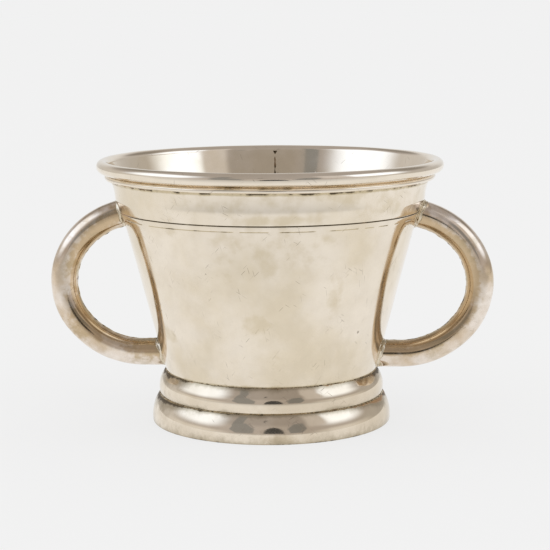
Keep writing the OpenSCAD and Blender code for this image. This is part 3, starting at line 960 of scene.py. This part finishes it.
def makeTube(side, flip):
    turn = wholeTurn(handle["aroundTube"])
    sway = ripple(*handle["waves"], tubeR)
    patchy = ripple(*handle["patches"], tubeR)
    held, fade = handle["held"], handle["endFade"]
    outside = np.linspace(0, 1, handle["along"])
    bore = np.linspace(1, 0, handle["boreAlong"])
    grids = []
    for radius, parts in ((tubeR, outside), (tubeR - handle["tubeT"], bore)):
        first = tubeEnd(turn, radius, handle["sunk"], True)[:, None]
        last = tubeEnd(turn, radius, handle["sunk"], False)[:, None]
        s = first + (last - first) * parts[None, :]
        t = turn[:, None] + 0 * s
        ends = ramp(0, held, parts)[None, :] * fallOff(1 - held, 1, parts)[None, :]
        grids.append(tubePoint(s, t, radius + handle["wave"] * sway(t, s) * ends))
        if radius == tubeR:
            inward = fallOff(*handle["loopHalf"], np.abs(t - pi))
            loop = handle["loopDirt"] + handle["loopPatches"] * np.clip(patchy(0 * t, s), 0, 1)
            ending = np.exp(-(s - first) / fade) + np.exp(-(last - s) / fade)
            spots = np.clip(patchy(t, s), 0, 1)
            stain = loop * inward + handle["endDirt"] * ending + handle["patchDirt"] * spots
            inner = np.abs(turnFrom(t, pi + handle["innerTurn"]))
            warm = handle["warmer"][side] + handle["patchy"] * patchy(t + 2, s * 0.6)
            veil = np.clip(warm, 0, handle["warmest"])
            # tarnish, and painted shade, on the inner half turned towards the front
            veil = veil + handle["browner"][side] * fallOff(*handle["innerHalf"], inner)
    points = np.concatenate(grids, 1) * np.array([flip, 1, 1])
    bare = np.ones(grids[1].shape[:2])
    grime = np.concatenate([stain, handle["boreDirt"] * bare], 1)
    piece = gridPiece(side + "Handle", points, grime=grime, veil=np.concatenate([veil, 0 * bare], 1))
    dress(piece, side + "_handle", handleSilver)


def makeTubeSeam(side, flip):
    # soldered seam of the tube, along the inside of the loop
    facing = np.full(1, pi)
    start, end = (tubeEnd(facing, tubeR, tubeSeam["sunk"], upper)[0] for upper in (True, False))
    s = np.linspace(start, end, tubeSeam["steps"])[:, None]
    ways = np.array([-1.0, -0.75, -0.35, 0, 0.35, 0.75, 1.0])[None, :]
    rough = ripple(*tubeSeam["waves"], tubeR)
    lift = np.maximum(tubeSeam["least"], tubeSeam["lift"] + tubeSeam["lumps"] * rough(0.0, s))
    across = tubeSeam["half"] * ways * (tubeSeam["width"] + tubeSeam["swell"] * lift)
    turnOff = (across + tubeSeam["wander"] * rough(2.0, s / 4)) / tubeR
    raised = tubeR + tubeSeam["proud"] * lift * (1 - ways ** 2) - tubeSeam["edgeSunk"] * (np.abs(ways) > 0.9)
    over = tubePoint(s + 0 * ways, pi + turnOff, raised)
    edges = turnOff[:, [-1, 0]]
    under = tubePoint(s + 0 * edges, pi + edges, np.full((1, 2), tubeR - tubeSeam["sunk"]))
    points = np.concatenate([over, under], 1) * np.array([flip, 1, 1])
    dirt = tubeSeam["dirt"] + tubeSeam["dirtLumps"] * rough(1.0, s)
    piece = gridPiece(side + "HandleSeam", points, closedAround=False, capped=True, grime=dirt)
    dress(piece, side + "_handle_seam", solderSilver)


def makeCollar(side, end, flip):
    # solder run round the end of a handle, hollow between the tube and the wall
    upper = end == "upper"
    turn = wholeTurn(collar["around"])
    lumps = ripple(*collar["waves"], tubeR)
    grow, climb = (np.clip(1 + collar["lumps"] * lumps(turn, k), *collar["limits"]) for k in (0.0, 9.0))
    meet = tubeEnd(turn, tubeR, 0.0, upper)
    away = collar["height"] * climb * (1 if upper else -1)
    corner = tubePoint(meet, turn, tubeR)
    onTube = tubePoint(meet + away, turn, tubeR + collar["proud"][0])
    inTube = tubePoint(meet + away * collar["sunkShare"], turn, tubeR - collar["sunk"][0])
    outward = tubePoint(meet, turn, tubeR + 1) - corner
    lean = wallLean if not upper else asin((corner[:, 2].mean() - flareC[1]) / bowl["flareR"])
    normal = corner * np.array([1, 1, 0]) / np.hypot(corner[:, 0], corner[:, 1])[:, None] * cos(lean)
    normal[:, 2] = -sin(lean)
    flat = outward - (outward * normal).sum(1)[:, None] * normal
    flat /= np.linalg.norm(flat, axis=1)[:, None]

    def laid(width, lift):
        spot = corner + flat * (width * grow)[:, None]
        spot[:, 2] = np.maximum(spot[:, 2], footH + foot["solderH"])
        r = wallR(spot[:, 2]) + lift
        return spot * np.stack([r / np.hypot(spot[:, 0], spot[:, 1])] * 2 + [1 + 0 * r], -1)

    onWall = laid(collar["width"], collar["proud"][1])
    inWall = laid(collar["width"] * collar["sunkShare"], -collar["sunk"][1])
    knee = corner * collar["hollow"] + (onTube + onWall) * (1 - collar["hollow"]) / 2
    knee = knee + flat * collar["rough"] * ripple(*collar["roughWaves"], tubeR)(turn, 0.0)[:, None]
    steps = np.linspace(0, 1, collar["across"])
    curve = [(1 - t) ** 2 * onTube + 2 * t * (1 - t) * knee + t ** 2 * onWall for t in steps]
    points = np.stack([inTube] + curve + [inWall], 1) * np.array([flip, 1, 1])
    dirt = np.full(len(steps) + 2, collar["dirt"])
    dirt[[1, -2]] = collar["edgeDirt"]
    dirt[[0, -1]] = collar["sunkDirt"]
    piece = gridPiece(side + end.capitalize() + "Solder", points, grime=dirt[None, :])
    dress(piece, side + "_" + end + "_solder", collarSilver)


def makeHandle(side, flip):
    makeTube(side, flip)
    makeTubeSeam(side, flip)
    makeCollar(side, "upper", flip)
    makeCollar(side, "lower", flip)


makeHandle("right", 1)
makeHandle("left", -1)
print("handles made")


# stage: pale floor, soft light all round, and a grey tent with two softboxes that only the metal shows

stage = dict(
    pale=0.88,  # grey of the floor and the surroundings, as seen
    fill=1.0,  # light of the surroundings on matt surfaces
    shadow=0.16,  # how much of the cup's shadow the floor shows
    floorR=40.0, floorRough=0.9,
    tentR=3.0, tentAround=240, tentUp=90, tentTint=(1.05, 0.975, 0.94),
    tentHeights=(0, 8, 20, 30, 45, 90),  # degrees up, and the grey there
    tentGreys=(0.5, 0.48, 0.49, 0.395, 0.41, 0.38),
    # the glowing sheet that paints shade on the floor in the metal: near and far ends, half width, steps,
    # lift and its grey far away
    frontNear=0.062, frontFar=0.5, frontHalf=2.0, frontSteps=24, frontLift=0.0004, frontGrey=0.62,
    lampSize=1.0, lampAway=1.5,
)
# azimuths in degrees from the front, to the right; heights in degrees above the floor
softboxes = [
    dict(name="leftSoftbox", azimuth=-77.0, height=32.0, watts=1.5),
    dict(name="rightSoftbox", azimuth=83.0, height=33.0, watts=1.5),
]
# paler and darker parts of the tent: middle, half sizes, form from round to square, plain middle and colour
tentParts = [
    ((180, 5), (62, 42), 2, 0.35, (0.78, 0.78, 0.78)),
    ((-125, 6), (45, 24), 2, 0.3, (0.62, 0.6, 0.58)),
    ((125, 6), (45, 24), 2, 0.3, (0.52, 0.5, 0.48)),
    ((-148, 40), (30, 18), 2, 0.3, (0.29, 0.27, 0.25)),
    ((138, 38), (30, 18), 2, 0.3, (0.29, 0.27, 0.25)),
    ((-78, 0), (48, 9), 3, 0.3, (0.78, 0.76, 0.73)),
    ((80, 0), (44, 10), 3, 0.3, (0.77, 0.75, 0.72)),
    ((-78, 31), (41, 25), 3, 0.4, (1.22, 1.33, 1.51)),
    ((81, 32), (36, 23), 3, 0.35, (1.34, 1.46, 1.66)),
    ((50, 36), (13, 22), 6, 0.6, (0.66, 0.63, 0.62)),
]
# dark things in the room in front of the cup: name, metres away, grey and corners
standOutline = [(6 + 9 * cos(a), 3 + 17 * sin(a)) for a in np.linspace(0, pi, 17)]
cards = [
    ("leftHanging", 2.9, 0.28, [(-36, 22), (-36, 50), (-25, 50), (-25, 22)]),
    ("leftScreen", 2.8, 0.3, [(-30, 2.5), (-37, 11), (-34, 27), (-22, 31), (-12, 16), (-13, 3)]),
    ("rightScreen", 2.8, 0.27, [(33, 4), (38, 14), (36, 30), (26, 29), (19, 17), (21, 4)]),
    ("hook", 2.8, 0.06, [(-3.5, 34), (-3.5, 41), (-0.5, 41), (-0.5, 39), (-2.2, 38.5), (-2.2, 34)]),
    ("darkStand", 0.5, 0.075, standOutline),
]


def glowing(name, colour=None):
    # shines in one colour, or in the mesh's own tones
    material, tree, surface = newMaterial(name)
    if colour is None:
        colour = addNode(tree, "Attribute", attribute_name="tone").outputs["Color"]
    glow = addNode(tree, "Emission", {"Color": colour, "Strength": 1.0})
    tree.links.new(glow.outputs[0], surface)
    return material


def stagePiece(name, places, faces, material):
    mesh = bpy.data.meshes.new(name)
    mesh.from_pydata(places, [], faces)
    mesh.materials.append(material)
    made = addObject(name, mesh)
    return made


def seenInMetalOnly(made):
    made.visible_camera = False
    made.visible_diffuse = False
    made.visible_shadow = False


def setTones(made, shades):
    alpha = np.ones((*shades.shape[:-1], 1))
    colours = np.concatenate([shades, alpha], -1).astype(np.float32)
    made.data.attributes.new("tone", "FLOAT_COLOR", "POINT").data.foreach_set("color", colours.ravel())


def seenDirectly(tree):
    # 1 for what the camera, the metal or glass shows, 0 for light on matt surfaces
    path = addNode(tree, "LightPath").outputs
    seen = calc("MAXIMUM", path["Is Camera Ray"], path["Is Glossy Ray"])
    return calc("MAXIMUM", seen, path["Is Transmission Ray"])


def skyPlace(azimuth, height, radius):
    a, h = radians(azimuth), radians(height)
    return radius * sin(a) * cos(h), -radius * cos(a) * cos(h), radius * sin(h)


def tentTone(azimuth, height):
    grey = np.interp(height, stage["tentHeights"], stage["tentGreys"])
    tone = (grey + 0 * azimuth)[..., None] * np.array(stage["tentTint"])
    for (midAzimuth, midHeight), (wide, high), form, core, colour in tentParts:
        aside = np.degrees(turnFrom(np.radians(azimuth), radians(midAzimuth)))
        away = (np.abs(aside / wide) ** form + np.abs((height - midHeight) / high) ** form) ** (1 / form)
        share = fallOff(core, 1, away)
        tone = tone + (np.array(colour) - tone) * share[..., None]
    return tone


def makeFloor():
    paper, tree, surface = newMaterial("floorPaper")
    shader = tree.nodes["Principled BSDF"]
    shader.inputs["Base Color"].default_value = (stage["pale"],) * 3 + (1,)
    shader.inputs["Roughness"].default_value = stage["floorRough"]
    shader.inputs["Specular IOR Level"].default_value = 0.0
    glow = addNode(tree, "Emission", {"Color": (stage["pale"],) * 3, "Strength": 1.0})
    share = times(seenDirectly(tree), 1 - stage["shadow"])
    both = addNode(tree, "MixShader", {0: share, 1: shader.outputs[0], 2: glow.outputs[0]})
    tree.links.new(both.outputs[0], surface)
    r = stage["floorR"]
    stagePiece("floor", [(-r, -r, 0), (r, -r, 0), (r, r, 0), (-r, r, 0)], [(0, 1, 2, 3)], paper)


def makeTent():
    around, up = stage["tentAround"], stage["tentUp"]
    azimuths = np.linspace(-180, 180, around, endpoint=False)
    heights = np.linspace(-1, 90, up)
    places = [skyPlace(a, h, stage["tentR"]) for a in azimuths for h in heights]
    faces = [(i * up + j, i * up + j + 1, (i + 1) % around * up + j + 1, (i + 1) % around * up + j)
             for i in range(around) for j in range(up - 1)]
    tent = stagePiece("lightTent", places, faces, tentCloth)
    setTones(tent, tentTone(azimuths[:, None], heights[None, :]))
    seenInMetalOnly(tent)
    for name, away, grey, corners in cards:
        places = [skyPlace(a, h, away) for a, h in corners]
        dark = glowing(name + "Grey", (grey,) * 3)
        seenInMetalOnly(stagePiece(name, places, [tuple(range(len(places)))], dark))


def makeShadedFloorSheet():
    # painted shade: a glowing sheet over the floor, seen in the metal only, greys the floor's image towards
    # the dark end of the room
    near, pale, half = stage["frontNear"], stage["pale"], stage["frontHalf"]
    away = np.geomspace(near, stage["tentR"], stage["frontSteps"])
    places = [(x, -y, stage["frontLift"]) for y in away for x in (-half, half)]
    faces = [(2 * k, 2 * k + 1, 2 * k + 3, 2 * k + 2) for k in range(len(away) - 1)]
    made = stagePiece("shadedFloorSheet", places, faces, tentCloth)
    share = ramp(log(near), log(stage["frontFar"]), np.log(away))
    grey = pale + (stage["frontGrey"] - pale) * share
    setTones(made, np.broadcast_to(grey[:, None, None], (len(away), 2, 3)))
    seenInMetalOnly(made)


def makeWorld():
    world = bpy.data.worlds.new("paleSurroundings")
    bpy.context.scene.world = world
    world.use_nodes = True
    tree = world.node_tree
    strength = timesPlus(seenDirectly(tree), stage["pale"] - stage["fill"], stage["fill"])
    tree.links.new(strength, tree.nodes["Background"].inputs["Strength"])
    tree.nodes["Background"].inputs["Color"].default_value = (1, 1, 1, 1)


def makeLamps():
    # the softboxes' light on matt surfaces; their image in the metal is on the tent
    for box in softboxes:
        light = bpy.data.lights.new(box["name"], "AREA")
        light.size = stage["lampSize"]
        light.energy = box["watts"]
        made = addObject(box["name"], light)
        turn = Matrix.Rotation(radians(box["azimuth"]), 4, "Z")
        tip = Matrix.Rotation(radians(90 - box["height"]), 4, "X")
        made.matrix_world = turn @ tip @ Matrix.Translation((0, 0, stage["lampAway"]))
        made.visible_camera = False
        made.visible_glossy = False


makeFloor()
tentCloth = glowing("tentCloth")
tentCloth.cycles.emission_sampling = "NONE"
makeTent()
makeShadedFloorSheet()
makeWorld()
makeLamps()
print("stage set")


# camera, as the photograph was taken; lengths in millimetres, angles in degrees

view = dict(azimuth=4.0, distance=568.36, height=133.32, pitch=8.604, yaw=0.1447, roll=-0.3186,
            lens=115.24, sensor=36.0)


def makeCamera():
    data = bpy.data.cameras.new("photoCamera")
    data.sensor_width = view["sensor"]
    data.lens = view["lens"]
    data.clip_end = 100
    made = addObject("photoCamera", data)
    made.matrix_world = (
        Matrix.Rotation(radians(view["azimuth"]), 4, "Z")
        @ Matrix.Translation((0, -view["distance"] * mm, view["height"] * mm))
        @ Matrix.Rotation(radians(-view["yaw"]), 4, "Z")
        @ Matrix.Rotation(radians(90 - view["pitch"]), 4, "X")
        @ Matrix.Rotation(radians(view["roll"]), 4, "Z")
    )
    bpy.context.scene.camera = made


makeCamera()
bpy.context.scene.view_settings.view_transform = "Standard"
print("camera placed")
